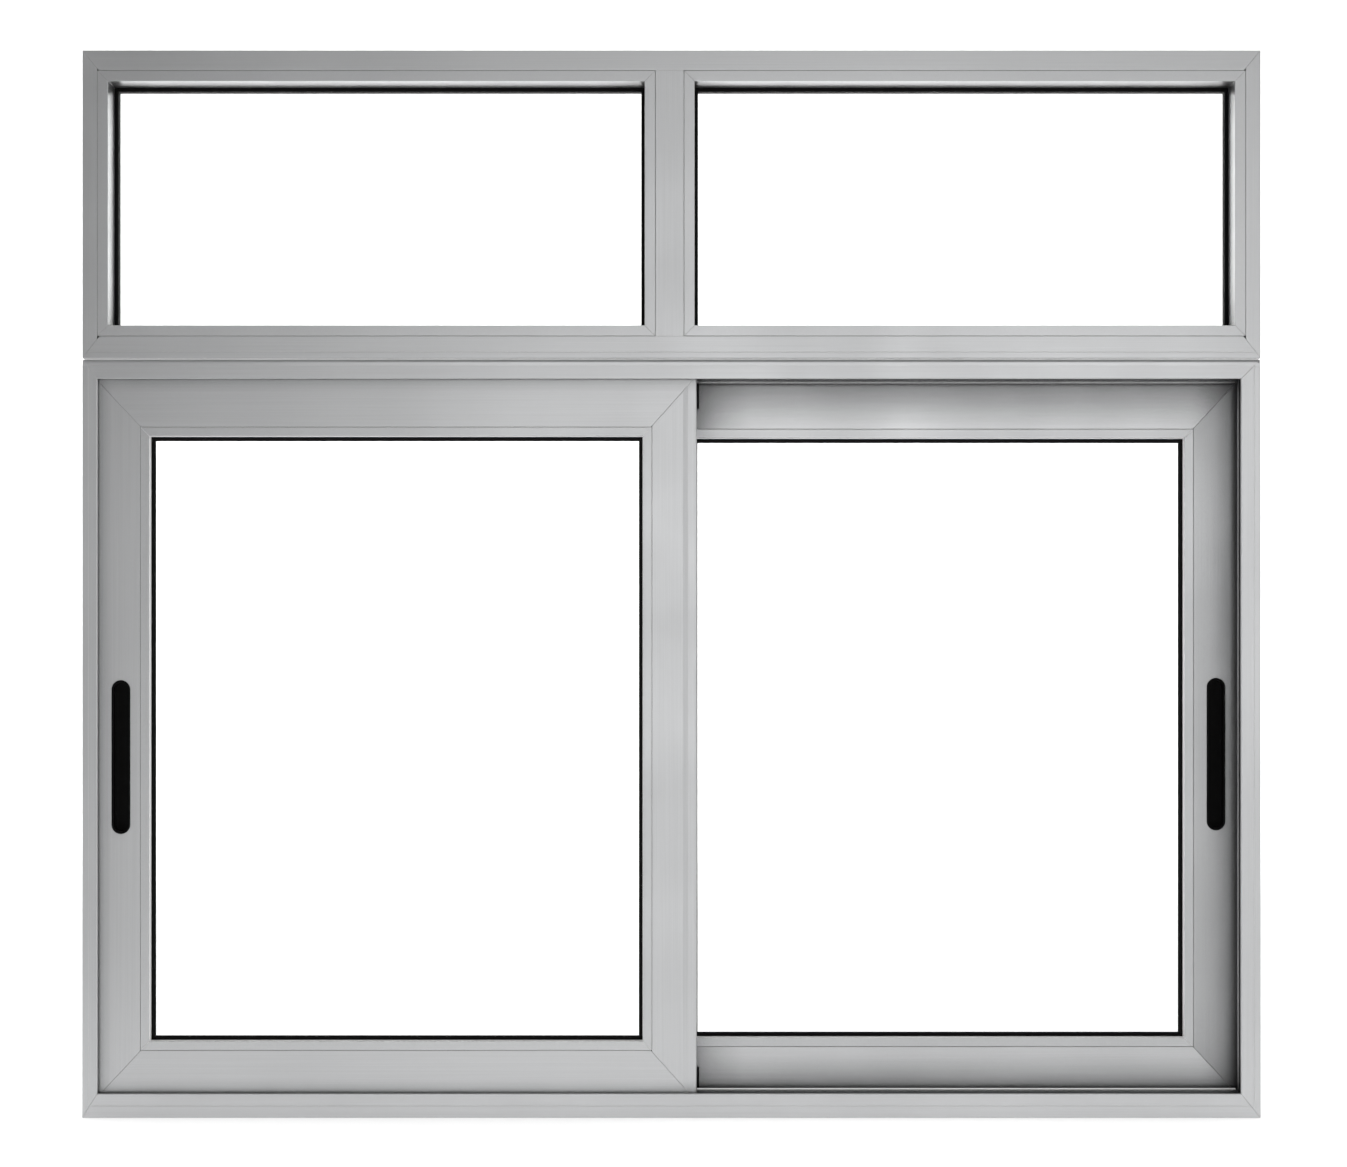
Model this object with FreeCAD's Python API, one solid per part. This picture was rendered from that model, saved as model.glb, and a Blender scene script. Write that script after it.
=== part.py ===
import FreeCAD, Part
import math
import os

# Horizontal sliding window with a fixed light above: millimetres, X right, Y back, Z up.
# The origin is the middle of the sill's underside, on the plane the wall carries.

# Overall sizes
frame_width = 1200.0
lower_height = 772.2
frame_depth = 80.0
light_height = 313.5
coupling_gap = 1.5

# Lower frame: track profiles
wall = 1.8
web = 1.6
sill_lip = 24.6
head_lip = 19.5
left_jamb_lip = 15.3
right_jamb_lip = 20.1
sill_floor = 9.4
head_floor = 7.0
jamb_floor = 1.8
lip_depth = 5.5
lip_return = 1.4
track_pitch = 33.0
fin_width = 2.4
sill_fin = 27.5
head_fin = 22.5
left_jamb_fin = 16.0
right_jamb_fin = 19.8
head_slope_drop = 6.1
head_slope_back = 3.5
crease = 0.25
jamb_crease_at = 6.4
sill_crease_at = 12.2
edge_round = 0.7
joint_round = 0.2
mitre_groove = 0.4
mitre_groove_depth = 0.3

# Pile seals in the lips
pile_inset = 3.4
pile_width = 2.4
pile_slot = 2.8
pile_cavity = 5.4
pile_base = 1.3
pile_gap = 0.4
pile_end = 45.0

# Sashes
sash_depth = 26.0
rail_width = 62.0
lock_width = 58.0
left_meeting_width = 55.25
right_meeting_width = 53.2
left_side_gap = 9.05
right_side_gap = 13.45
meeting_overlap = 56.0
fin_engagement = 12.5
head_gap = 15.5
rail_channel = 29.0
lock_channel = 13.0
sash_wall = 1.8
rebate = 9.6
back_flange = 5.0
flange_wall = 1.6
meeting_step_at = 9.0
meeting_step_run = 5.0
meeting_step = 0.6
meeting_round = 2.0
notch_side = 4.0
notch_end = 5.0

# Glass, beads and gaskets
glass_thickness = 5.0
glass_cover = 7.0
sash_bead_width = 9.3
sash_bead_depth = 12.0
sash_gasket = 2.0
sash_gasket_show = 4.0
gasket_seat = 4.0
bead_wall = 1.5

# Fixed light
light_jamb = 26.2
light_head_width = 31.5
light_sill_width = 33.4
light_sill_crease_at = 6.2
mullion_offset = -1.9
mullion_width = 50.8
light_rebate = 11.0
light_bead_width = 10.7
light_bead_depth = 42.0
light_gasket = 2.5
light_gasket_show = 3.9
light_back_gasket = 4.5
light_back_show = 0.8
light_liner_inset = 2.0
coupling_inset_y = 2.5
coupling_inset_x = 2.0

# Flush pull handles
handle_length = 157.0
handle_width = 19.0
left_handle_from_edge = 28.65
right_handle_from_edge = 25.35
left_handle_height = 367.1
right_handle_height = 369.1
handle_proud = 0.9
handle_rim = 2.2
handle_cup_inset = 1.2
handle_depth = 9.4
handle_floor = 1.4
handle_clearance = 0.2

# Rollers and top guides
roller_inset = 85.0
carriage_length = 46.0
carriage_web = 1.4
carriage_skirt = 3.0
wheel_groove = 6.5
wheel_flange = 8.0
wheel_width = 8.0
wheel_gap = 0.3
wheel_side_gap = 0.2
axle_radius = 2.0
axle_gap = 0.05
guide_length = 40.0
guide_clearance = 0.6
guide_top_inset = 2.7
guide_tip_gap = 3.0

# Interlock strips between the sashes and the centre dust blocks
hook_base = 1.2
hook_base_width = 14.0
hook_wall = 1.4
hook_reach = 12.0
hook_gap = 1.3
hook_inset = 18.8
hook_end_bottom = 39.0
hook_end_top = 40.7
dust_width = 38.4
dust_show = 2.6
dust_hook_gap = 7.0
head_dust_hook_gap = 8.6
dust_tongue = 3.2
dust_base_gap = 2.0
dust_fin_gap = 0.4

# Derived planes
half = frame_width / 2.0
front = -frame_depth / 2.0
back = frame_depth / 2.0
track = track_pitch / 2.0
left_front = -track - sash_depth / 2.0
right_front = track - sash_depth / 2.0
light_bottom = lower_height + coupling_gap
light_top = light_bottom + light_height
sash_bottom = sill_fin - fin_engagement
sash_top = lower_height - head_gap
opening_bottom = sash_bottom + rail_width
opening_top = sash_top - rail_width
left_edge = -half + left_side_gap
right_edge = half - right_side_gap
meeting_centre = (left_edge + right_edge) / 2.0
left_meeting_edge = meeting_centre + meeting_overlap / 2.0
right_meeting_edge = meeting_centre - meeting_overlap / 2.0
left_hook_at = left_meeting_edge - hook_inset
right_hook_at = right_meeting_edge + hook_inset
hook_bottom = sash_bottom + hook_end_bottom
hook_top = sash_top - hook_end_top
dust_right = left_meeting_edge + dust_show
dust_left = dust_right - dust_width
dust_top = hook_bottom - dust_hook_gap
head_dust_low = hook_top + head_dust_hook_gap
mullion_left = mullion_offset - mullion_width / 2.0

os.makedirs("parts", exist_ok=True)


def corner_points(points):
    """Replace every point that carries a radius by an arc; returns the list of edges."""
    count = len(points)
    ends = []
    for i in range(count):
        here = FreeCAD.Vector(*points[i][0])
        radius = points[i][1]
        before = FreeCAD.Vector(*points[i - 1][0])
        after = FreeCAD.Vector(*points[(i + 1) % count][0])
        to_before = (before - here).normalize()
        to_after = (after - here).normalize()
        if radius <= 0:
            ends.append((here, None, here))
            continue
        angle = to_before.getAngle(to_after)
        run = radius / math.tan(angle / 2.0)
        centre_way = (to_before + to_after).normalize()
        centre = here + centre_way * (radius / math.sin(angle / 2.0))
        middle = centre - centre_way * radius
        ends.append((here + to_before * run, middle, here + to_after * run))
    edges = []
    for i in range(count):
        start, middle, stop = ends[i]
        if middle is not None:
            edges.append(Part.Arc(start, middle, stop).toShape())
        following = ends[(i + 1) % count][0]
        if (following - stop).Length > 1e-6:
            edges.append(Part.LineSegment(stop, following).toShape())
    return edges


def solid_from(outline, holes, place, way):
    """Extrude a profile with chambers. place maps (u, y) to a point, way is the extrusion."""
    wires = []
    for shape in [outline] + holes:
        points = []
        for p in shape:
            radius = p[2] if len(p) > 2 else 0.0
            points.append((place(p[0], p[1]), radius))
        wires.append(Part.Wire(corner_points(points)))
    face = Part.Face(wires[0])
    for wire in wires[1:]:
        face = face.cut(Part.Face(wire))
    solid = face.Faces[0].extrude(FreeCAD.Vector(*way))
    solid = solid.Solids[0]
    if solid.Volume < 0:
        solid.reverse()
    return solid


def bar(outline, holes, side, edge, start, stop):
    """A profile along one side of a frame; u runs from the outer edge towards the opening."""
    if side == "left":
        return solid_from(outline, holes, lambda u, y: (edge + u, y, start), (0, 0, stop - start))
    if side == "right":
        return solid_from(outline, holes, lambda u, y: (edge - u, y, start), (0, 0, stop - start))
    if side == "bottom":
        return solid_from(outline, holes, lambda u, y: (start, y, edge + u), (stop - start, 0, 0))
    return solid_from(outline, holes, lambda u, y: (start, y, edge - u), (stop - start, 0, 0))


def box(x0, x1, y0, y1, z0, z1):
    return Part.makeBox(x1 - x0, y1 - y0, z1 - z0, FreeCAD.Vector(x0, y0, z0))


def wedge(points, y0, y1):
    """A prism across the depth from points in the window's plane."""
    vectors = [FreeCAD.Vector(x, y0, z) for x, z in points]
    face = Part.Face(Part.makePolygon(vectors + vectors[:1]))
    return face.extrude(FreeCAD.Vector(0, y1 - y0, 0))


def save(name, shapes):
    solids = []
    for shape in shapes:
        solids.extend(shape.Solids)
    result = solids[0] if len(solids) == 1 else Part.makeCompound(solids)
    result.exportStep("parts/" + name + ".step")


def mitre_way(outer, inner):
    dx = inner[0] - outer[0]
    dz = inner[1] - outer[1]
    length = math.hypot(dx, dz)
    return dx / length, dz / length


def mitre_keep(outer, inner, toward, y0, y1):
    """Half-space block on one side of a mitre."""
    way = mitre_way(outer, inner)
    reach = 4.0 * (frame_width + lower_height + light_height)
    nx = -way[1]
    nz = way[0]
    if (toward[0] - outer[0]) * nx + (toward[1] - outer[1]) * nz < 0:
        nx = -nx
        nz = -nz
    a = (outer[0] - way[0] * reach, outer[1] - way[1] * reach)
    b = (outer[0] + way[0] * reach, outer[1] + way[1] * reach)
    c = (b[0] + nx * reach, b[1] + nz * reach)
    d = (a[0] + nx * reach, a[1] + nz * reach)
    return wedge([a, b, c, d], y0 - 1.0, y1 + 1.0)


def mitre_joint(outer, inner, y_face, inward):
    """The small V left by the eased edges where two mitred bars meet on a flat face."""
    way = mitre_way(outer, inner)
    start = (outer[0] - way[0] * 3.0, outer[1] - way[1] * 3.0)
    run = math.hypot(inner[0] - outer[0], inner[1] - outer[1]) + 6.0
    h = mitre_groove * 0.75
    nx = -way[1] * h
    nz = way[0] * h
    above = y_face - inward * mitre_groove_depth / 2.0
    points = [
        FreeCAD.Vector(start[0] - nx, above, start[1] - nz),
        FreeCAD.Vector(start[0] + nx, above, start[1] + nz),
        FreeCAD.Vector(start[0], y_face + inward * mitre_groove_depth, start[1]),
    ]
    face = Part.Face(Part.makePolygon(points + points[:1]))
    return face.extrude(FreeCAD.Vector(way[0] * run, 0, way[1] * run))


def frame_bars(profiles, rect, widths, y0, y1, grooved):
    """Four mitred bars. profiles, rect and widths are keyed left, right, bottom, top."""
    x0, x1, z0, z1 = rect
    inner = {}
    inner["lb"] = (x0 + widths["left"], z0 + widths["bottom"])
    inner["rb"] = (x1 - widths["right"], z0 + widths["bottom"])
    inner["lt"] = (x0 + widths["left"], z1 - widths["top"])
    inner["rt"] = (x1 - widths["right"], z1 - widths["top"])
    outer = {"lb": (x0, z0), "rb": (x1, z0), "lt": (x0, z1), "rt": (x1, z1)}
    middle_x = (x0 + x1) / 2.0
    middle_z = (z0 + z1) / 2.0
    spans = {}
    spans["left"] = (x0, z0, z1, ["lb", "lt"], (x0, middle_z))
    spans["right"] = (x1, z0, z1, ["rb", "rt"], (x1, middle_z))
    spans["bottom"] = (z0, x0, x1, ["lb", "rb"], (middle_x, z0))
    spans["top"] = (z1, x0, x1, ["lt", "rt"], (middle_x, z1))
    bars = {}
    for side, (edge, start, stop, corners, toward) in spans.items():
        outline, holes = profiles[side]
        shape = bar(outline, holes, side, edge, start, stop)
        for corner in corners:
            keep = mitre_keep(outer[corner], inner[corner], toward, y0, y1)
            shape = shape.common(keep)
            for y_face in grooved:
                inward = 1.0 if y_face == y0 else -1.0
                shape = shape.cut(mitre_joint(outer[corner], inner[corner], y_face, inward))
        bars[side] = shape
    return bars


def lip_points(lip, floor, side):
    """The lip and its pile slot from its outer face to the floor, on the side -1 or +1."""
    f = side * frame_depth / 2.0
    w = f - side * wall
    r = f - side * (lip_depth - lip_return)
    n = f - side * lip_depth
    seat = lip - pile_inset
    slot_low = seat - pile_slot / 2.0
    slot_high = seat + pile_slot / 2.0
    low = seat - pile_cavity / 2.0 - 0.5
    high = seat + pile_cavity / 2.0 - 0.5
    points = [(lip, f, edge_round), (lip, n), (slot_high, n)]
    points += [(slot_high, r), (high, r), (high, w), (low, w), (low, r)]
    points += [(slot_low, r), (slot_low, n), (floor, n)]
    return points


def fin_points(floor, tip, side):
    y = side * track
    h = fin_width / 2.0
    r = h * 0.98
    return [(floor, y - h), (tip, y - h, r), (tip, y + h, r), (floor, y + h)]


def crease_points(at, y):
    return [(at - crease, y), (at, y + crease), (at + crease, y)]


def track_profile(lip, floor, fin, crease_at, slope):
    """Outer wall, two lips with pile slots and two fins that the sashes run on or over."""
    if slope:
        outline = [(0.0, front + head_slope_back), (head_slope_drop, front, edge_round / 2.0)]
    else:
        outline = [(0.0, front, edge_round / 2.0)]
    if crease_at:
        outline += crease_points(crease_at, front)
    outline += lip_points(lip, floor, -1)
    outline += fin_points(floor, fin, -1)
    outline += fin_points(floor, fin, 1)
    outline += list(reversed(lip_points(lip, floor, 1)))
    outline += [(0.0, back, edge_round / 2.0)]
    holes = []
    seat = lip - pile_inset
    low = seat - pile_cavity / 2.0 - 0.5
    inner = front + lip_depth - lip_return
    begin = head_slope_drop + 0.6 if slope else web
    for side in (-1, 1):
        a = side * (frame_depth / 2.0 - wall)
        b = side * (frame_depth / 2.0 - lip_depth + lip_return)
        stop = low - web
        start = begin if side < 0 else web
        if stop - start > 2.0:
            holes.append([(start, a), (stop, a), (stop, b), (start, b)])
    if floor > 2.0 * web + 1.5:
        outer = -front - lip_depth - 0.1
        f0 = track - web / 2.0
        f1 = track + web / 2.0
        for y0, y1 in ((-outer, -f1), (-f0, f0), (f1, outer)):
            holes.append([(web, y0), (floor - web, y0), (floor - web, y1), (web, y1)])
    return outline, holes


# Lower frame with its four track profiles, mitred at the corners
tracks = {
    "left": track_profile(left_jamb_lip, jamb_floor, left_jamb_fin, jamb_crease_at, False),
    "right": track_profile(right_jamb_lip, jamb_floor, right_jamb_fin, jamb_crease_at, False),
    "bottom": track_profile(sill_lip, sill_floor, sill_fin, sill_crease_at, False),
    "top": track_profile(head_lip, head_floor, head_fin, None, True),
}
lips = {"left": left_jamb_lip, "right": right_jamb_lip, "bottom": sill_lip, "top": head_lip}
faces = (front, back)
lower = frame_bars(tracks, (-half, half, 0.0, lower_height), lips, front, back, faces)
slope_cut = [
    FreeCAD.Vector(-half - 1, front - 1, lower_height - head_slope_drop),
    FreeCAD.Vector(-half - 1, front, lower_height - head_slope_drop),
    FreeCAD.Vector(-half - 1, front + head_slope_back, lower_height),
    FreeCAD.Vector(-half - 1, front + head_slope_back, lower_height + 1),
    FreeCAD.Vector(-half - 1, front - 1, lower_height + 1),
]
slope_tool = Part.Face(Part.makePolygon(slope_cut + slope_cut[:1]))
slope_tool = slope_tool.extrude(FreeCAD.Vector(frame_width + 2, 0, 0))
save("sill_track", [lower["bottom"]])
save("head_track", [lower["top"]])
save("left_jamb", [lower["left"].cut(slope_tool)])
save("right_jamb", [lower["right"].cut(slope_tool)])

# Pile seals: a base held in each lip's slot and a brush that reaches the sash's face
pile_tip = track + sash_depth / 2.0 + pile_gap


def pile_strip(side, y_side):
    lip = lips[side]
    edge = {"left": -half, "right": half, "bottom": 0.0, "top": lower_height}[side]
    if side in ("left", "right"):
        start, stop = pile_end, lower_height - pile_end
    else:
        start, stop = -half + pile_end, half - pile_end
    seat = lip - pile_inset
    w = y_side * (frame_depth / 2.0 - wall)
    m = w - y_side * pile_base
    t = y_side * pile_tip
    a0 = seat - pile_cavity / 2.0 - 0.5
    a1 = seat + pile_cavity / 2.0 - 0.5
    b0 = seat - pile_width / 2.0
    b1 = seat + pile_width / 2.0
    outline = [(a0, w), (a1, w), (a1, m), (b1, m), (b1, t), (b0, t), (b0, m), (a0, m)]
    return bar(outline, [], side, edge, start, stop)


strips = []
for y_side in (-1, 1):
    for side in ("left", "right", "bottom", "top"):
        strips.append(pile_strip(side, y_side))
save("frame_pile_seals", strips)


# Sashes
def sash_profile(width, channel):
    """Front wall, chamber, glass rebate and back flange; a channel along the outer edge."""
    d = sash_depth
    outline = [(width - rebate, 0.0, joint_round), (width - rebate, d - back_flange)]
    outline += [(width, d - back_flange), (width, d, edge_round)]
    if channel:
        outline += [(0.0, d), (0.0, d - sash_wall), (channel, d - sash_wall)]
        outline += [(channel, sash_wall), (0.0, sash_wall), (0.0, 0.0)]
        start = channel + web
    else:
        outline += [(0.0, d, edge_round), (0.0, meeting_step, meeting_round)]
        outline += [(meeting_step_at, meeting_step), (meeting_step_at + meeting_step_run, 0.0)]
        start = sash_wall
    inner = width - rebate - sash_wall
    low = meeting_step + sash_wall if not channel else sash_wall
    ends = [(start, low), (inner, low), (inner, d - back_flange + flange_wall)]
    ends += [(width - sash_wall, d - back_flange + flange_wall), (width - sash_wall, d - sash_wall)]
    ends += [(start, d - sash_wall)]
    holes = [ends]
    if not channel:
        cut = start + 14.0
        left = [(start, low), (cut, low), (cut, d - sash_wall), (start, d - sash_wall)]
        ends = [(cut + web, low)] + ends[1:5] + [(cut + web, d - sash_wall)]
        holes = [left, ends]
    return outline, holes


def shift_profile(profile, y):
    outline, holes = profile
    moved = [tuple([p[0], p[1] + y] + list(p[2:])) for p in outline]
    inner = []
    for hole in holes:
        inner.append([tuple([p[0], p[1] + y] + list(p[2:])) for p in hole])
    return moved, inner


def bead_profile(width, depth, foot_to, seat, wall_thickness):
    """Snap-in bead: face, side towards the glass, gasket seat and a foot on the rebate."""
    t = wall_thickness
    o = -(foot_to - width)
    a = 0.30 * depth
    outline = [(0.0, 0.0, joint_round), (width, 0.0, 0.5), (width, depth), (width - seat, depth)]
    outline += [(width - seat, depth - t), (width - t, depth - t)]
    middle = 0.62 * depth
    outline += [(width - t, middle), (o, middle), (o, middle - t), (width - t, middle - t)]
    outline += [(width - t, t), (t, t), (t, a + t), (o, a + t), (o, a), (0.0, a)]
    return outline, []


def ring(x0, x1, z0, z1, y0, y1, show, seat, slope_front):
    """A gasket round an opening: seat under the bead, show beyond it, its free lip sloped."""
    outer = box(x0 - seat, x1 + seat, y0, y1, z0 - seat, z1 + seat)
    inner = box(x0 + show, x1 - show, y0 - 1, y1 + 1, z0 + show, z1 - show)
    result = outer.cut(inner)
    lip = 0.45 * (y1 - y0)
    chosen = []
    y_edge = y0 if slope_front else y1
    for e in result.Edges:
        points = [v.Point for v in e.Vertexes]
        if all(abs(p.y - y_edge) < 1e-6 for p in points):
            inside = all(x0 + show - 1e-6 < p.x < x1 - show + 1e-6 for p in points)
            inside = inside and all(z0 + show - 1e-6 < p.z < z1 - show + 1e-6 for p in points)
            if inside:
                chosen.append(e)
    return result.makeChamfer(lip, chosen)


def stadium(x, y, z, width, length, depth):
    """A slot shape standing on its end, from the plane y back by depth."""
    r = width / 2.0
    s = length / 2.0 - r
    v = FreeCAD.Vector
    edges = [
        Part.LineSegment(v(x - r, y, z - s), v(x - r, y, z + s)).toShape(),
        Part.Arc(v(x - r, y, z + s), v(x, y, z + s + r), v(x + r, y, z + s)).toShape(),
        Part.LineSegment(v(x + r, y, z + s), v(x + r, y, z - s)).toShape(),
        Part.Arc(v(x + r, y, z - s), v(x, y, z - s - r), v(x - r, y, z - s)).toShape(),
    ]
    return Part.Face(Part.Wire(edges)).extrude(v(0, depth, 0))


def build_handle(x, y, z):
    """Flush pull: a rim on the stile's face and a cup that passes through its wall."""
    rim = stadium(x, y - handle_proud, z, handle_width, handle_length, handle_proud)
    front_edges = []
    for e in rim.Edges:
        if all(abs(v.Point.y - (y - handle_proud)) < 1e-6 for v in e.Vertexes):
            front_edges.append(e)
    rim = rim.makeChamfer(handle_proud * 0.45, front_edges)
    cup_w = handle_width - 2 * handle_cup_inset
    cup_l = handle_length - 2 * handle_cup_inset
    cup = stadium(x, y - handle_proud / 2.0, z, cup_w, cup_l, handle_depth)
    body = rim.fuse(cup).removeSplitter()
    open_w = handle_width - 2 * handle_rim
    open_l = handle_length - 2 * handle_rim
    depth = handle_proud / 2.0 + handle_depth - handle_floor
    cavity = stadium(x, y - handle_proud - 1, z, open_w, open_l, depth + 1)
    return body.cut(cavity)


def build_carriages(x0, x1, y_centre):
    """Two roller carriages in the bottom rail: cheeks, a top web and the axle."""
    z_top = sash_bottom + rail_channel
    z_low = sill_fin - carriage_skirt
    y_half = sash_depth / 2.0 - sash_wall
    z_axle = sill_fin + wheel_gap + wheel_groove
    slot = wheel_width / 2.0 + wheel_side_gap
    housings = []
    wheels = []
    for x in (x0 + roller_inset, x1 - roller_inset):
        a = x - carriage_length / 2.0
        b = x + carriage_length / 2.0
        block = box(a, b, y_centre - y_half, y_centre + y_half, z_low, z_top)
        gap = box(a - 1, b + 1, y_centre - slot, y_centre + slot, z_low - 1, z_top - carriage_web)
        along = FreeCAD.Vector(0, 1, 0)
        start = FreeCAD.Vector(x, y_centre - y_half, z_axle)
        axle = Part.makeCylinder(axle_radius, 2 * y_half, start, along)
        housings.append(block.cut(gap).fuse(axle).removeSplitter())
        h = wheel_width / 2.0
        flat = fin_width / 2.0 + 0.4
        r_in = axle_radius + axle_gap
        points = [(r_in, -h), (wheel_flange, -h), (wheel_groove, -flat)]
        points += [(wheel_groove, flat), (wheel_flange, h), (r_in, h)]
        vectors = [FreeCAD.Vector(x + r, y_centre + y, z_axle) for r, y in points]
        face = Part.Face(Part.makePolygon(vectors + vectors[:1]))
        wheel = face.revolve(FreeCAD.Vector(x, y_centre, z_axle), along, 360)
        wheels.append(wheel)
    return housings, wheels


def build_guides(x0, x1, y_centre):
    """Two guide blocks in the top rail, each with a slot that runs over the head's fin."""
    z0 = sash_top - rail_channel
    z1 = sash_top - guide_top_inset
    y_half = sash_depth / 2.0 - sash_wall
    slot = fin_width / 2.0 + guide_clearance
    slot_floor = lower_height - head_fin - guide_tip_gap
    blocks = []
    for x in (x0 + roller_inset, x1 - roller_inset):
        a = x - guide_length / 2.0
        b = x + guide_length / 2.0
        block = box(a, b, y_centre - y_half, y_centre + y_half, z0, z1)
        blocks.append(block.cut(box(a - 1, b + 1, y_centre - slot, y_centre + slot, slot_floor, z1 + 1)))
    return blocks


def notch_ends(stile, x0, x1, y_centre):
    """Notch both ends of a stile where the sill's and the head's fins run through it."""
    h = fin_width / 2.0 + notch_side
    low = box(x0 - 1, x1 + 1, y_centre - h, y_centre + h, sash_bottom - 1, sill_fin + notch_end)
    tip = lower_height - head_fin - notch_end
    high = box(x0 - 1, x1 + 1, y_centre - h, y_centre + h, tip, sash_top + 1)
    return stile.cut(low).cut(high)


def build_sash(name, x0, x1, widths, lock_side, y_front):
    profiles = {}
    for side in ("left", "right"):
        channel = lock_channel if side == lock_side else 0.0
        profiles[side] = shift_profile(sash_profile(widths[side], channel), y_front)
    for side in ("bottom", "top"):
        profiles[side] = shift_profile(sash_profile(rail_width, rail_channel), y_front)
    rect = (x0, x1, sash_bottom, sash_top)
    y_back = y_front + sash_depth
    bars = frame_bars(profiles, rect, widths, y_front, y_back, (y_front, y_back))
    meeting_side = "right" if lock_side == "left" else "left"
    if lock_side == "left":
        handle_x = x0 + left_handle_from_edge
        handle_z = left_handle_height
    else:
        handle_x = x1 - right_handle_from_edge
        handle_z = right_handle_height
    hole_w = handle_width - 2 * handle_cup_inset + 2 * handle_clearance
    hole_l = handle_length - 2 * handle_cup_inset + 2 * handle_clearance
    hole = stadium(handle_x, y_front - 1, handle_z, hole_w, hole_l, sash_wall + 2)
    for side in ("left", "right"):
        bars[side] = notch_ends(bars[side], x0, x1, y_front + sash_depth / 2.0)
    save(name + "_bottom_rail", [bars["bottom"]])
    save(name + "_top_rail", [bars["top"]])
    save(name + "_lock_stile", [bars[lock_side].cut(hole)])
    save(name + "_meeting_stile", [bars[meeting_side]])
    save(name + "_handle", [build_handle(handle_x, y_front, handle_z)])

    # Beads round the opening, mitred like the sash
    ox0 = x0 + widths["left"]
    ox1 = x1 - widths["right"]
    oz0 = opening_bottom
    oz1 = opening_top
    w = sash_bead_width
    bead = bead_profile(w, sash_bead_depth, rebate, gasket_seat, bead_wall)
    bead = shift_profile(bead, y_front)
    bead_rect = (ox0 - w, ox1 + w, oz0 - w, oz1 + w)
    sides = ("left", "right", "bottom", "top")
    same = {s: bead for s in sides}
    beads = frame_bars(same, bead_rect, {s: w for s in sides}, y_front, y_back, (y_front,))
    save(name + "_beads", [beads[s] for s in sides])

    # Glass between its two gaskets
    y1 = y_front + sash_bead_depth
    y2 = y1 + sash_gasket
    y3 = y2 + glass_thickness
    y4 = y_back - back_flange
    c = glass_cover
    save(name + "_glass", [box(ox0 - c, ox1 + c, y2, y3, oz0 - c, oz1 + c)])
    show = sash_gasket_show
    rings = [ring(ox0, ox1, oz0, oz1, y1, y2, show, gasket_seat, True)]
    rings.append(ring(ox0, ox1, oz0, oz1, y3, y4, show, gasket_seat, False))
    save(name + "_gaskets", rings)

    y_centre = y_front + sash_depth / 2.0
    housings, wheels = build_carriages(x0, x1, y_centre)
    save(name + "_roller_carriages", housings)
    save(name + "_roller_wheels", wheels)
    save(name + "_top_guides", build_guides(x0, x1, y_centre))


left_widths = {"left": lock_width, "right": left_meeting_width}
right_widths = {"left": right_meeting_width, "right": lock_width}
for sash_widths in (left_widths, right_widths):
    sash_widths["bottom"] = rail_width
    sash_widths["top"] = rail_width
build_sash("left_sash", left_edge, left_meeting_edge, left_widths, "left", left_front)
build_sash("right_sash", right_meeting_edge, right_edge, right_widths, "right", right_front)


# Interlock strips on the facing sides of the meeting stiles
def hook(face_y, other_y, x_web, way):
    """A base on the stile and a plate that reaches behind the other sash's plate."""
    s = 1.0 if other_y > face_y else -1.0
    far = other_y - s * hook_gap
    a = face_y
    b = face_y + s * hook_base
    inner = x_web - way * hook_wall
    points = [(x_web, a), (x_web + way * (hook_base_width - hook_wall), a)]
    points += [(x_web + way * (hook_base_width - hook_wall), b), (x_web, b), (x_web, far)]
    points += [(x_web - way * hook_reach, far), (x_web - way * hook_reach, far - s * hook_wall)]
    points += [(inner, far - s * hook_wall), (inner, a)]
    vectors = [FreeCAD.Vector(x, y, hook_bottom) for x, y in points]
    face = Part.Face(Part.makePolygon(vectors + vectors[:1]))
    return face.extrude(FreeCAD.Vector(0, 0, hook_top - hook_bottom))


left_back = left_front + sash_depth
save("left_sash_interlock", [hook(left_back, right_front, left_hook_at, 1.0)])
save("right_sash_interlock", [hook(right_front, left_back, right_hook_at, -1.0)])

# Dust blocks at the middle of the sill and the head, their tongues standing between the sashes
def dust_piece(seat, base_end, tip):
    """A base from its seat on the track's floor, and a tongue from there on to the tip."""
    fin_side = track - fin_width / 2.0 - dust_fin_gap
    side = dust_tongue / 2.0
    base = box(dust_left, dust_right, -fin_side, fin_side, min(seat, base_end), max(seat, base_end))
    tongue = box(dust_left, dust_right, -side, side, min(seat, tip), max(seat, tip))
    return base.fuse(tongue).removeSplitter()


head_seat = lower_height - head_floor
save("dust_block", [dust_piece(sill_floor, sash_bottom - dust_base_gap, dust_top)])
save("head_dust_block", [dust_piece(head_seat, sash_top + dust_base_gap, head_dust_low)])

# Fixed light above
coupling_x = half - coupling_inset_x
coupling_y = frame_depth / 2.0 - coupling_inset_y
coupling = box(-coupling_x, coupling_x, -coupling_y, coupling_y, lower_height, light_bottom)
save("coupling_bar", [coupling])

light_glass_front = front + light_bead_depth + light_gasket
light_glass_back = light_glass_front + glass_thickness
light_flange_front = light_glass_back + light_back_gasket


def light_profile(width, crease_at):
    """Deep hollow profile: a rebate for bead and glass in front of a full width back part."""
    t = wall
    outline = [(0.0, front, edge_round / 2.0)]
    if crease_at:
        outline += crease_points(crease_at, front)
    outline += [(width - light_rebate, front, joint_round)]
    outline += [(width - light_rebate, light_flange_front)]
    outline += [(width, light_flange_front), (width, back, edge_round), (0.0, back, edge_round)]
    inner = width - light_rebate - t
    chamber = [(t, front + t), (inner, front + t), (inner, light_flange_front + t)]
    chamber += [(width - t, light_flange_front + t), (width - t, back - t), (t, back - t)]
    return outline, [chamber]


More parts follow.
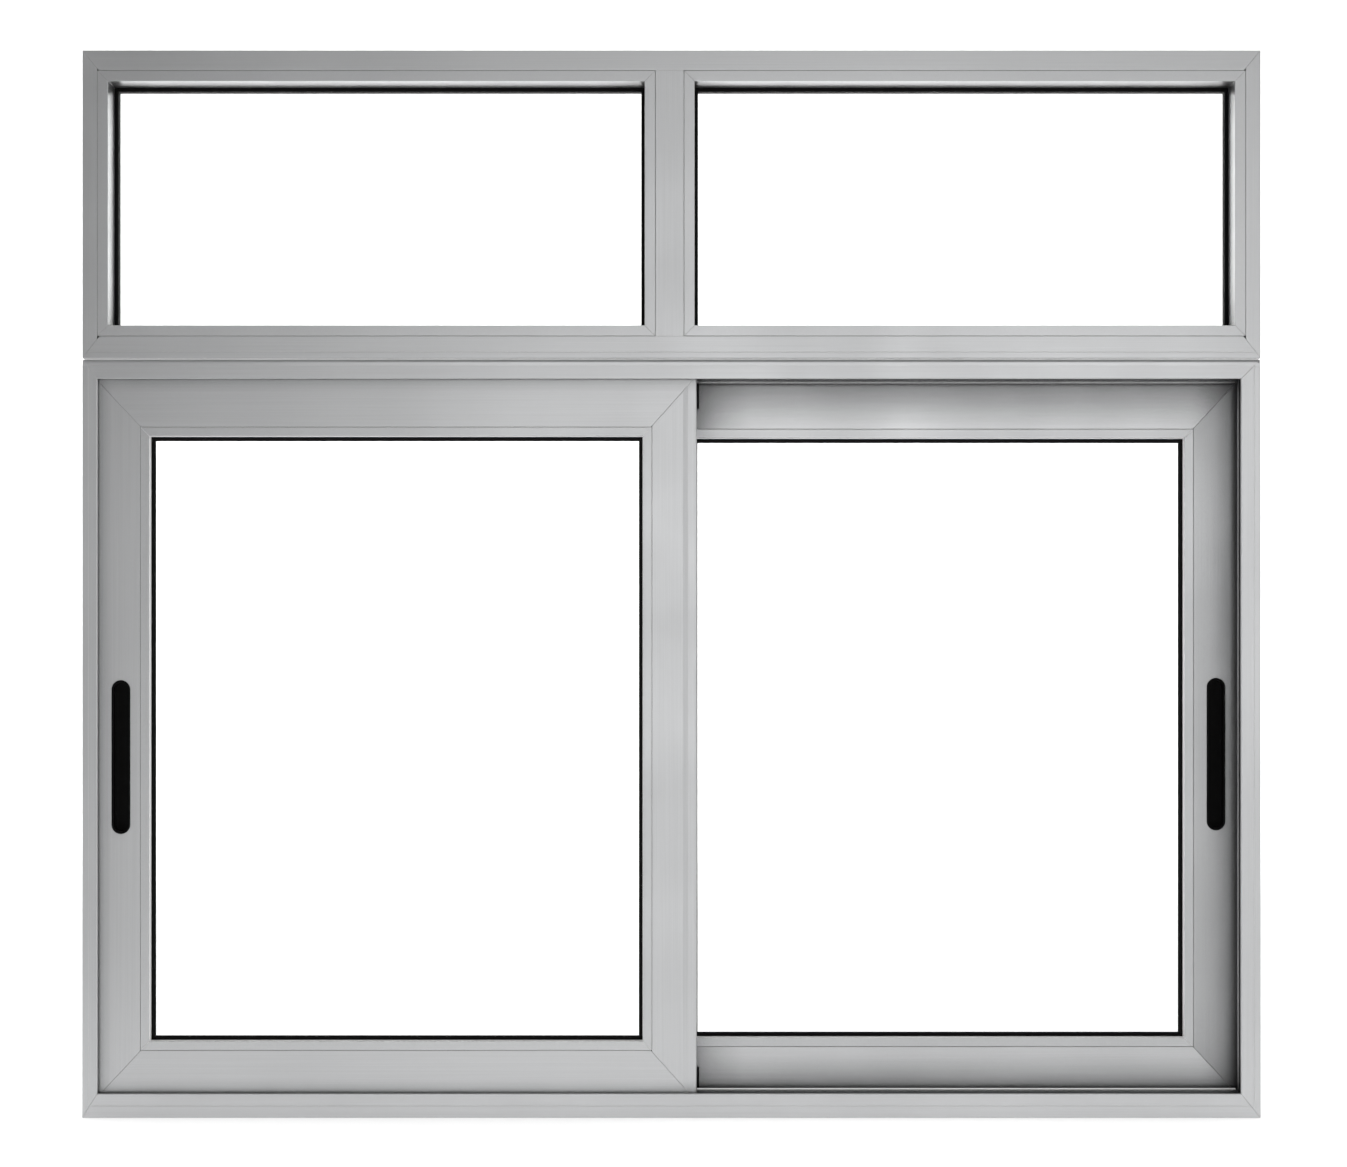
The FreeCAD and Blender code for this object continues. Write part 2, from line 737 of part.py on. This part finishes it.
light_widths = {"left": light_jamb, "right": light_jamb}
light_widths["bottom"] = light_sill_width
light_widths["top"] = light_head_width
light_profiles = {
    "left": light_profile(light_jamb, None),
    "right": light_profile(light_jamb, None),
    "bottom": light_profile(light_sill_width, light_sill_crease_at),
    "top": light_profile(light_head_width, None),
}
light_rect = (-half, half, light_bottom, light_top)
light = frame_bars(light_profiles, light_rect, light_widths, front, back, faces)
save("light_sill", [light["bottom"]])
save("light_head", [light["top"]])
save("light_left_jamb", [light["left"]])
save("light_right_jamb", [light["right"]])

# Mullion between the two panes, butted on the bars' faces and notched round their rebates
w = mullion_width
r = light_rebate
fl = light_flange_front
t = wall
j = joint_round
mullion_outline = [(r, front, j), (w - r, front, j), (w - r, fl), (w, fl), (w, back, edge_round)]
mullion_outline += [(0.0, back, edge_round), (0.0, fl), (r, fl)]
mullion_hole = [(r + t, front + t), (w - r - t, front + t), (w - r - t, fl + t), (w - t, fl + t)]
mullion_hole += [(w - t, back - t), (t, back - t), (t, fl + t), (r + t, fl + t)]
full_bottom = light_bottom + light_sill_width
full_top = light_top - light_head_width
mullion = bar(mullion_outline, [mullion_hole], "left", mullion_left, full_bottom, full_top)
# In front of the flange the mullion runs on to the floor of both rebates
neck_outline = [(r, front, j), (w - r, front, j), (w - r, fl), (r, fl)]
neck_hole = [(r + t, front + t), (w - r - t, front + t), (w - r - t, fl - t), (r + t, fl - t)]
for z0, z1 in ((full_bottom - r, full_bottom), (full_top, full_top + r)):
    neck = bar(neck_outline, [neck_hole], "left", mullion_left, z0, z1)
    mullion = mullion.fuse(neck)
save("mullion", [mullion.removeSplitter()])

# Panes: beads, glass and gaskets on each side of the mullion
panes = {
    "left_light": (-half + light_jamb, mullion_left),
    "right_light": (mullion_left + mullion_width, half - light_jamb),
}
sides = ("left", "right", "bottom", "top")
light_bead = bead_profile(light_bead_width, light_bead_depth, light_rebate, gasket_seat, web)
light_bead = shift_profile(light_bead, front)
for name, (x0, x1) in panes.items():
    b = light_bead_width
    rect = (x0 - b, x1 + b, full_bottom - b, full_top + b)
    same = {s: light_bead for s in sides}
    beads = frame_bars(same, rect, {s: b for s in sides}, front, back, (front,))
    save(name + "_beads", [beads[s] for s in sides])
    c = glass_cover
    pane = box(x0 - c, x1 + c, light_glass_front, light_glass_back, full_bottom - c, full_top + c)
    save(name + "_glass", [pane])
    y1 = light_glass_front - light_gasket
    y2 = light_flange_front
    show = light_gasket_show
    bshow = light_back_show
    rings = [ring(x0, x1, full_bottom, full_top, y1, light_glass_front, show, gasket_seat, True)]
    rear = ring(x0, x1, full_bottom, full_top, light_glass_back, y2, bshow, gasket_seat, False)
    y3 = back - light_liner_inset
    y0 = light_glass_back
    liner = box(x0, x1, y0, y3, full_bottom, full_top)
    hollow = box(x0 + bshow, x1 - bshow, y0 - 1, y3 + 1, full_bottom + bshow, full_top - bshow)
    liner = liner.cut(hollow)
    rings.append(rear.fuse(liner).removeSplitter())
    save(name + "_gaskets", rings)
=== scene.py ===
import math

import bpy
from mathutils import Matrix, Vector


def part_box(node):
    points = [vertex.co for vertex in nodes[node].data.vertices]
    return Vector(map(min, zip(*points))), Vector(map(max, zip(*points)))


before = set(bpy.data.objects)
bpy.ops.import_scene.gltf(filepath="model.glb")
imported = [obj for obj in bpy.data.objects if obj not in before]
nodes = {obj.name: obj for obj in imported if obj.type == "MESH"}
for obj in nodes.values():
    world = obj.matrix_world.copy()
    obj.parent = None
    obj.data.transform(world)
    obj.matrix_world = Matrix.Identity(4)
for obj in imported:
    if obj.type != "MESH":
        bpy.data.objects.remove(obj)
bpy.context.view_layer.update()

# Picture size and viewing point, in the photograph's own pixels
PHOTO_W = 1347.0
PHOTO_H = 1167.0
MM_PER_PIXEL = 1.0182
VIEW_DISTANCE = 3.5
CENTRE_X = 671.5
CENTRE_Y = 648.0
EYE_HEIGHT = 0.4785
FRONT_Y = -0.040

# The metal's looks
ALU = (0.485, 0.49, 0.496)
# Painted shade: a darker copy of the aluminium for the far sash, which sits recessed behind the
# frame.
FAR_ALU_SHADED = (0.446, 0.451, 0.457)
SATIN = 0.78
# Painted light on rail tops and narrow sides: the metallic level and the whiter grey they get.
PAINTED_LIGHT_METALLIC = 0.15
# Lighter grey laid on edges, partly as rubbed wear and partly as a painted highlight.
RUBBED_AND_HIGHLIT = 0.72
PAINTED_LIGHT_GREY = 0.93
# The lowest factor by which the painted shade in recesses multiplies the colour.
DARKEST_PAINTED_SHADE = 0.04
LIP_DEPTH = 0.0045


def new_material(name):
    mat = bpy.data.materials.new(name)
    mat.use_nodes = True
    tree = mat.node_tree
    tree.nodes.clear()
    out = tree.nodes.new("ShaderNodeOutputMaterial")
    return mat, tree, out


def add(tree, kind, **values):
    node = tree.nodes.new(kind)
    for key, value in values.items():
        setattr(node, key, value)
    return node


def scaled(tree, value, start, end, first=0.0, last=1.0, smooth=False):
    """Map value from start..end to first..last, held at both ends."""
    node = add(tree, "ShaderNodeMapRange")
    if smooth:
        node.interpolation_type = "SMOOTHSTEP"
    node.inputs["From Min"].default_value = start
    node.inputs["From Max"].default_value = end
    node.inputs["To Min"].default_value = first
    node.inputs["To Max"].default_value = last
    tree.links.new(value, node.inputs["Value"])
    return node.outputs["Result"]


def size_of(tree, value):
    """The value without its sign."""
    node = add(tree, "ShaderNodeMath", operation="ABSOLUTE")
    tree.links.new(value, node.inputs[0])
    return node.outputs["Value"]


def blended(tree, factor, under, over):
    """Mix of two colours; over is a grey number or an output."""
    node = add(tree, "ShaderNodeMix", data_type="RGBA")
    tree.links.new(factor, node.inputs["Factor"])
    tree.links.new(under, node.inputs["A"])
    if isinstance(over, float):
        node.inputs["B"].default_value = (over, over, over, 1.0)
    else:
        tree.links.new(over, node.inputs["B"])
    return node.outputs["Result"]


def noise_node(tree, vector, size, **sockets):
    node = add(tree, "ShaderNodeTexNoise")
    node.inputs["Scale"].default_value = size
    for key, value in sockets.items():
        node.inputs[key].default_value = value
    tree.links.new(vector, node.inputs["Vector"])
    return node.outputs["Fac"]


def two_tone(tree, value, dark, light, start=0.0, end=1.0):
    """Colour ramp from dark to light."""
    ramp = add(tree, "ShaderNodeValToRGB")
    for stop, place, colour in zip(ramp.color_ramp.elements, (start, end), (dark, light)):
        stop.position = place
        stop.color = (*colour, 1.0)
    tree.links.new(value, ramp.inputs["Fac"])
    return ramp.outputs["Color"]


def bumped(tree, shader, height, strength, distance, normal=None):
    node = add(tree, "ShaderNodeBump")
    node.inputs["Strength"].default_value = strength
    node.inputs["Distance"].default_value = distance
    tree.links.new(height, node.inputs["Height"])
    if normal is not None:
        tree.links.new(normal, node.inputs["Normal"])
    tree.links.new(node.outputs["Normal"], shader.inputs["Normal"])


def stretched(tree, vector, size):
    node = add(tree, "ShaderNodeMapping")
    node.inputs["Scale"].default_value = size
    tree.links.new(vector, node.inputs["Vector"])
    return node.outputs["Vector"]


def object_place(tree):
    return add(tree, "ShaderNodeTexCoord").outputs["Object"]


def bsdf_node(tree, out, **sockets):
    node = tree.nodes.new("ShaderNodeBsdfPrincipled")
    for key, value in sockets.items():
        node.inputs[key.replace("_", " ")].default_value = value
    tree.links.new(node.outputs["BSDF"], out.inputs["Surface"])
    return node


def paint_recess_shade(tree, colour, reach, power):
    """Painted shade: darkens the colour in corners and recesses, by how enclosed each point is."""
    link = tree.links.new
    open_sky = add(tree, "ShaderNodeAmbientOcclusion", samples=2)
    open_sky.inputs["Distance"].default_value = reach
    fade = add(tree, "ShaderNodeMath", operation="POWER")
    fade.inputs[1].default_value = power
    link(open_sky.outputs["AO"], fade.inputs[0])
    keep = scaled(tree, fade.outputs["Value"], 0.0, 1.0, DARKEST_PAINTED_SHADE, 1.0)
    grey = add(tree, "ShaderNodeCombineColor")
    for socket in ("Red", "Green", "Blue"):
        link(keep, grey.inputs[socket])
    shaded = add(tree, "ShaderNodeMix", data_type="RGBA", blend_type="MULTIPLY")
    shaded.inputs["Factor"].default_value = 1.0
    link(colour, shaded.inputs["A"])
    link(grey.outputs["Color"], shaded.inputs["B"])
    return shaded.outputs["Result"]


def metal(name, tone, along, rough=0.31, grain=1.0, shade_power=1.4, reach=0.05, painted_highlight_above=None,
          painted_bright_sides=False, shade_cutoff=None):
    """Satin anodised aluminium; along is the axis of the profile's drawn grain.

    painted_highlight_above is a height above which the rail tops get painted light, a whiter and
    less metallic coat. painted_bright_sides gives the narrow sides towards the glass the same
    painted light. shade_power and reach set the painted shade in corners and recesses; shade_cutoff
    is the distance from the middle of the depth beyond which no painted shade is laid.
    """
    mat, tree, out = new_material(name)
    link = tree.links.new
    shader = bsdf_node(tree, out, Metallic=SATIN)
    shader.inputs["Specular IOR Level"].default_value = 0.5
    here = object_place(tree)
    place = add(tree, "ShaderNodeSeparateXYZ")
    link(here, place.inputs["Vector"])
    grain_size = {"x": (6.0, 900.0, 900.0), "z": (900.0, 900.0, 6.0), "all": (500.0, 500.0, 500.0)}
    drawn = stretched(tree, here, grain_size[along])
    fine = noise_node(tree, drawn, 1.0, Detail=3.0, Roughness=0.6)
    cloud = noise_node(tree, here, 7.0, Detail=2.0)

    # Edges, found where a small rounding would turn the surface; their colour is lightened there,
    # partly as rubbed wear and partly as a painted highlight
    soft = add(tree, "ShaderNodeBevel", samples=2)
    soft.inputs["Radius"].default_value = 0.0007
    plain = add(tree, "ShaderNodeNewGeometry")
    dot = add(tree, "ShaderNodeVectorMath", operation="DOT_PRODUCT")
    link(soft.outputs["Normal"], dot.inputs[0])
    link(plain.outputs["Normal"], dot.inputs[1])
    worn_and_highlit = scaled(tree, dot.outputs["Value"], 1.0, 0.75, 0.0, 0.5)

    low = [c * (1.0 - 0.035 * grain) for c in tone]
    high = [min(c * (1.0 + 0.03 * grain), 1.0) for c in tone]
    colour = two_tone(tree, fine, low, high, 0.32, 0.68)
    # Painted shade: the colour darkens in corners and recesses, by the given strength and reach.
    base = paint_recess_shade(tree, colour, reach, shade_power)
    # Painted shade stops at a depth: faces farther than the cutoff from the middle of the depth
    # keep their colour.
    if shade_cutoff is not None:
        depth = size_of(tree, place.outputs["Y"])
        base = blended(tree, scaled(tree, depth, shade_cutoff - 0.001, shade_cutoff), base, colour)
    # Edges lightened, partly as rubbed wear and partly as a painted highlight.
    base = blended(tree, worn_and_highlit, base, RUBBED_AND_HIGHLIT)
    # Painted light: a whiter, less metallic coat laid on the rail tops above a given height, and on
    # the sides that face across.
    painted_light_mask = None
    if painted_highlight_above is not None:
        painted_light_mask = scaled(tree, place.outputs["Z"], painted_highlight_above - 0.0003, painted_highlight_above)
    # Painted light: sides that face across, not to the front or back, are made whiter and less
    # metallic.
    if painted_bright_sides:
        turn = add(tree, "ShaderNodeSeparateXYZ")
        link(plain.outputs["Normal"], turn.inputs["Vector"])
        painted_light_mask = scaled(tree, size_of(tree, turn.outputs["Y"]), 0.8, 0.4)
    if painted_light_mask is not None:
        base = blended(tree, painted_light_mask, base, PAINTED_LIGHT_GREY)
        link(scaled(tree, painted_light_mask, 0.0, 1.0, SATIN, PAINTED_LIGHT_METALLIC), shader.inputs["Metallic"])
    link(base, shader.inputs["Base Color"])
    link(scaled(tree, cloud, 0.3, 0.7, rough - 0.03, rough + 0.04), shader.inputs["Roughness"])
    bumped(tree, shader, fine, 0.05 * grain, 0.0002, soft.outputs["Normal"])
    return mat


def rubber(name):
    mat, tree, out = new_material(name)
    shader = bsdf_node(tree, out, Roughness=0.62)
    shader.inputs["Specular IOR Level"].default_value = 0.08
    noise = noise_node(tree, object_place(tree), 420.0, Detail=4.0)
    colour = two_tone(tree, noise, (0.001, 0.001, 0.001), (0.004, 0.004, 0.004))
    tree.links.new(colour, shader.inputs["Base Color"])
    bumped(tree, shader, noise, 0.15, 0.0002)
    return mat


def moulded(name, dark, light, rough, gloss):
    """Fine spark-eroded moulded plastic; dark and light are greys."""
    mat, tree, out = new_material(name)
    shader = bsdf_node(tree, out, Roughness=rough)
    shader.inputs["Specular IOR Level"].default_value = gloss
    here = object_place(tree)
    cells = add(tree, "ShaderNodeTexVoronoi")
    cells.inputs["Scale"].default_value = 1500.0
    tree.links.new(here, cells.inputs["Vector"])
    colour = two_tone(tree, noise_node(tree, here, 60.0), [dark] * 3, [light] * 3)
    tree.links.new(colour, shader.inputs["Base Color"])
    bumped(tree, shader, cells.outputs["Distance"], 0.12, 0.0001)
    return mat


def brush(name):
    """Dense pile: dark fibres standing away from the lip."""
    mat, tree, out = new_material(name)
    shader = bsdf_node(tree, out, Roughness=0.9)
    shader.inputs["Sheen Weight"].default_value = 0.25
    fibres = stretched(tree, object_place(tree), (1800.0, 60.0, 1800.0))
    noise = noise_node(tree, fibres, 1.0)
    colour = two_tone(tree, noise, (0.006, 0.006, 0.006), (0.06, 0.06, 0.062))
    tree.links.new(colour, shader.inputs["Base Color"])
    bumped(tree, shader, noise, 0.5, 0.0004)
    return mat


def clear_glass(name):
    """Float glass: clear, faintly green, with a surface gloss; it casts no dark shadow."""
    mat, tree, out = new_material(name)
    link = tree.links.new
    glass = add(tree, "ShaderNodeBsdfPrincipled")
    glass.inputs["Transmission Weight"].default_value = 1.0
    glass.inputs["IOR"].default_value = 1.5
    glass.inputs["Roughness"].default_value = 0.0
    noise = noise_node(tree, object_place(tree), 3.0)
    tint = two_tone(tree, noise, (0.985, 0.995, 0.990), (0.995, 1.0, 0.998))
    link(tint, glass.inputs["Base Color"])
    see = add(tree, "ShaderNodeBsdfTransparent")
    light_path = add(tree, "ShaderNodeLightPath")
    either = add(tree, "ShaderNodeMath", operation="MAXIMUM")
    link(light_path.outputs["Is Shadow Ray"], either.inputs[0])
    link(light_path.outputs["Is Diffuse Ray"], either.inputs[1])
    mix = add(tree, "ShaderNodeMixShader")
    link(either.outputs["Value"], mix.inputs["Fac"])
    link(glass.outputs["BSDF"], mix.inputs[1])
    link(see.outputs["BSDF"], mix.inputs[2])
    link(mix.outputs["Shader"], out.inputs["Surface"])
    return mat


# Each metal below darkens its colour in corners and recesses as painted shade. The strength and
# reach differ from part to part, and are heaviest on the head and side tracks and the light beads.
metal_x = metal("satin_aluminium_lengthwise_x", ALU, "x", shade_power=0.4, reach=0.03)
metal_z = metal("satin_aluminium_lengthwise_z", ALU, "z", shade_power=0.4, reach=0.03)
# Depth from the middle beyond which the tracks get no painted shade, so the front and back lips
# keep their colour.
shade_cutoff_depth = -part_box("head_track")[0][1] - LIP_DEPTH
track_x = metal("satin_aluminium_head_track", ALU, "x", shade_power=4.0, shade_cutoff=shade_cutoff_depth)
track_z = metal("satin_aluminium_side_tracks", ALU, "z", shade_power=3.0, shade_cutoff=shade_cutoff_depth)
# Painted highlight along the sill rail tops: their top 1.2 mm get the whiter, less metallic coat.
rail_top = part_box("sill_track")[1][2]
track_sill = metal("satin_aluminium_sill_track", ALU, "x", shade_power=0.8, painted_highlight_above=rail_top - 0.0012,
                   shade_cutoff=shade_cutoff_depth)
# Painted shade: the far sash, set back behind the frame, is darkened much more and farther than the
# near sash, and its top rail most.
near_x = metal("satin_aluminium_near_sash_x", ALU, "x", shade_power=0.5, reach=0.015)
near_z = metal("satin_aluminium_near_sash_z", ALU, "z", shade_power=0.5, reach=0.015)
far_top = metal("satin_aluminium_far_sash_top", ALU, "x", shade_power=2.3, reach=0.058)
far_low = metal("satin_aluminium_far_sash_bottom", ALU, "x", shade_power=1.0, reach=0.05)
far_z = metal("satin_aluminium_far_sash_z", FAR_ALU_SHADED, "z", shade_power=1.05, reach=0.1)
bead_light = metal("satin_aluminium_light_beads", ALU, "all", grain=0.6, shade_power=2.0)
bead_sash = metal("satin_aluminium_sash_beads", ALU, "all", grain=0.6, shade_power=0.25, painted_bright_sides=True)
bead_far = metal("satin_aluminium_far_beads", FAR_ALU_SHADED, "all", grain=0.6, shade_power=0.3, painted_bright_sides=True)
# Painted light: the coupling bar uses a far lighter grey than the other aluminium, lifting it where
# it sits in shade; it also takes a little painted shade.
joint_metal_painted_light = metal("joint_aluminium", (0.88, 0.88, 0.88), "x", rough=0.5, grain=0.6, shade_power=0.2)
gasket_mat = rubber("black_gasket_rubber")
black_mat = moulded("black_moulded_plastic", 0.0015, 0.004, 0.5, 0.05)
guide_mat = moulded("guide_plastic", 0.03, 0.06, 0.5, 0.5)
pile_mat = brush("brush_pile")
glass_mat = clear_glass("clear_float_glass")

LOOK = {
    "sill_track": track_sill, "head_track": track_x, "left_jamb": track_z, "right_jamb": track_z,
    "light_sill": metal_x, "light_head": metal_x, "light_left_jamb": metal_z,
    "light_right_jamb": metal_z, "mullion": metal_z, "coupling_bar": joint_metal_painted_light,
    "left_light_beads": bead_light, "right_light_beads": bead_light,
    "frame_pile_seals": pile_mat,
}
ENDS = {
    "_rail": near_x, "_stile": near_z, "_beads": bead_sash, "_glass": glass_mat,
    "_gaskets": gasket_mat, "_handle": black_mat, "_interlock": black_mat, "_block": black_mat,
    "_carriages": guide_mat, "_wheels": guide_mat, "_guides": guide_mat,
}
FAR = {"top_rail": far_top, "bottom_rail": far_low, "lock_stile": far_z, "meeting_stile": far_z,
       "beads": bead_far}
LOOK.update({"right_sash_" + end: mat for end, mat in FAR.items()})
for name, obj in nodes.items():
    look = LOOK.get(name) or next(mat for end, mat in ENDS.items() if name.endswith(end))
    obj.data.materials.clear()
    obj.data.materials.append(look)

# Studio: a pale floor that rises into a backdrop, both plain; the sheet also glows as painted
# light, none in front of the object and more behind it
SCENE = bpy.context.scene
LINK = SCENE.collection.objects.link


def glowing_paper(name):
    mat, tree, out = new_material(name)
    shader = bsdf_node(tree, out, Roughness=0.9)
    shader.inputs["Base Color"].default_value = (0.94, 0.94, 0.94, 1.0)
    shader.inputs["Emission Color"].default_value = (1.0, 1.0, 1.0, 1.0)
    place = add(tree, "ShaderNodeSeparateXYZ")
    tree.links.new(object_place(tree), place.inputs["Vector"])
    # Painted light: the sheet glows though it is no lamp, not at all far in front and up to 0.41
    # from just in front of the object back.
    glow = scaled(tree, place.outputs["Y"], -1.1, -0.35, 0.0, 0.41, smooth=True)
    tree.links.new(glow, shader.inputs["Emission Strength"])
    return mat


SHEET_REACH = 9.0
SHEET_HEIGHT = 7.0


def floor_sheet():
    """One smooth sheet: flat under the object, curving up so far behind it that views from
    the back stand in front of the curve."""
    start = 5.0
    radius = 1.6
    profile = [(-SHEET_REACH, 0.0), (start, 0.0)]
    for i in range(1, 13):
        a = math.radians(90.0 * i / 12)
        profile.append((start + radius * math.sin(a), radius * (1 - math.cos(a))))
    profile.append((start + radius, SHEET_HEIGHT))
    verts = []
    faces = []
    for y, z in profile:
        verts.append((-SHEET_REACH, y, z))
        verts.append((SHEET_REACH, y, z))
    for i in range(len(profile) - 1):
        a = 2 * i
        faces.append((a, a + 1, a + 3, a + 2))
    mesh = bpy.data.meshes.new("studio_sheet")
    mesh.from_pydata(verts, [], faces)
    for poly in mesh.polygons:
        poly.use_smooth = True
    obj = bpy.data.objects.new("studio_sheet", mesh)
    LINK(obj)
    mesh.materials.append(glowing_paper("glowing_paper_sheet"))
    return obj


floor = floor_sheet()
floor.location.z = -0.0005
floor.visible_shadow = False


def area(name, place, target, size_x, size_y, power, spread=180.0):
    data = bpy.data.lights.new(name, "AREA")
    data.shape = "RECTANGLE"
    data.size = size_x
    data.size_y = size_y
    data.energy = power
    data.spread = math.radians(spread)
    obj = bpy.data.objects.new(name, data)
    obj.location = place
    way = Vector(target) - Vector(place)
    obj.rotation_euler = way.to_track_quat("-Z", "Y").to_euler()
    obj.visible_camera = False
    obj.visible_transmission = False
    LINK(obj)
    return obj


area("right_card", (2.0, -2.9, 0.55), (0.1, 0.0, 0.5), 0.9, 1.6, 5.0)
area("top_card", (0.4, -2.9, 2.45), (0.1, 0.0, 0.5), 1.6, 0.8, 1.5)
area("left_card", (-2.4, -1.5, 0.6), (-0.1, 0.0, 0.6), 0.9, 1.6, 6.0)
area("high_card", (0.4, -1.5, 3.4), (0.1, 0.0, 0.5), 2.0, 1.0, 10.0)
area("back_wash", (0.0, 3.7, 3.3), (0.0, 6.6, 0.8), 6.0, 1.2, 80.0, 130.0)


def studio_world():
    """White room behind and around, a dimmer side to the front, darkest at the upper left."""
    world = bpy.data.worlds.new("studio_world")
    SCENE.world = world
    world.use_nodes = True
    tree = world.node_tree
    tree.nodes.clear()
    link = tree.links.new
    out = add(tree, "ShaderNodeOutputWorld")
    back = add(tree, "ShaderNodeBackground")
    way = add(tree, "ShaderNodeTexCoord")
    axes = add(tree, "ShaderNodeSeparateXYZ")
    link(way.outputs["Generated"], axes.inputs["Vector"])

    def ramp(axis, low, high, first, last):
        return scaled(tree, axes.outputs[axis], low, high, first, last, smooth=True)

    def times(one, two):
        node = add(tree, "ShaderNodeMath", operation="MULTIPLY")
        link(one, node.inputs[0])
        link(two, node.inputs[1])
        return node.outputs["Value"]

    lean = add(tree, "ShaderNodeMath", operation="MULTIPLY_ADD")
    link(axes.outputs["X"], lean.inputs[0])
    lean.inputs[1].default_value = -0.3
    link(axes.outputs["Z"], lean.inputs[2])
    across = times(ramp("X", -0.1, 0.06, 0.0, 10.0), ramp("X", 0.08, 0.15, 1.0, 0.02))
    window = times(across, scaled(tree, lean.outputs["Value"], 0.05, 0.13, 1.0, 0.02, True))
    side = times(ramp("X", 0.19, 0.29, 0.0, 1.6), ramp("Z", 0.03, 0.2, 1.0, 0.1))
    both = add(tree, "ShaderNodeMath", operation="ADD")
    link(window, both.inputs[0])
    link(side, both.inputs[1])
    front = both.outputs["Value"]
    facing = ramp("Y", -0.9, -0.45, 1.0, 0.0)
    mix = add(tree, "ShaderNodeMix", data_type="FLOAT")
    link(facing, mix.inputs["Factor"])
    mix.inputs["A"].default_value = 0.78
    link(front, mix.inputs["B"])
    room = times(mix.outputs["Result"], ramp("Z", 0.2, 0.9, 0.85, 0.8))
    cards = scaled(tree, size_of(tree, axes.outputs["X"]), 0.35, 0.8, 1.0, 1.9, True)
    behind = ramp("Y", 0.0, 0.25, 1.0, 1.5)
    link(times(times(room, cards), behind), back.inputs["Strength"])
    paper = add(tree, "ShaderNodeBackground")
    paper.inputs["Strength"].default_value = 0.95
    path = add(tree, "ShaderNodeLightPath")
    seen = add(tree, "ShaderNodeMath", operation="MAXIMUM")
    link(path.outputs["Is Camera Ray"], seen.inputs[0])
    link(path.outputs["Is Transmission Ray"], seen.inputs[1])
    plain = add(tree, "ShaderNodeMixShader")
    link(seen.outputs["Value"], plain.inputs["Fac"])
    link(back.outputs["Background"], plain.inputs[1])
    link(paper.outputs["Background"], plain.inputs[2])
    link(plain.outputs["Shader"], out.inputs["Surface"])


studio_world()

# Camera at the photograph's viewing point
cam_data = bpy.data.cameras.new("camera")
cam_data.sensor_fit = "HORIZONTAL"
cam_data.sensor_width = 36.0
cam_data.lens = 36.0 * VIEW_DISTANCE / (MM_PER_PIXEL * PHOTO_W / 1000.0)
cam_data.shift_x = (PHOTO_W / 2 - CENTRE_X) / PHOTO_W
cam_data.shift_y = (CENTRE_Y - PHOTO_H / 2) / PHOTO_W
cam_data.clip_start = 0.05
cam_data.clip_end = 60.0
camera = bpy.data.objects.new("camera", cam_data)
camera.location = (0.0, FRONT_Y - VIEW_DISTANCE, EYE_HEIGHT)
camera.rotation_euler = (math.radians(90.0), 0.0, 0.0)
LINK(camera)
bpy.context.scene.camera = camera
SCENE.view_settings.view_transform = "Standard"
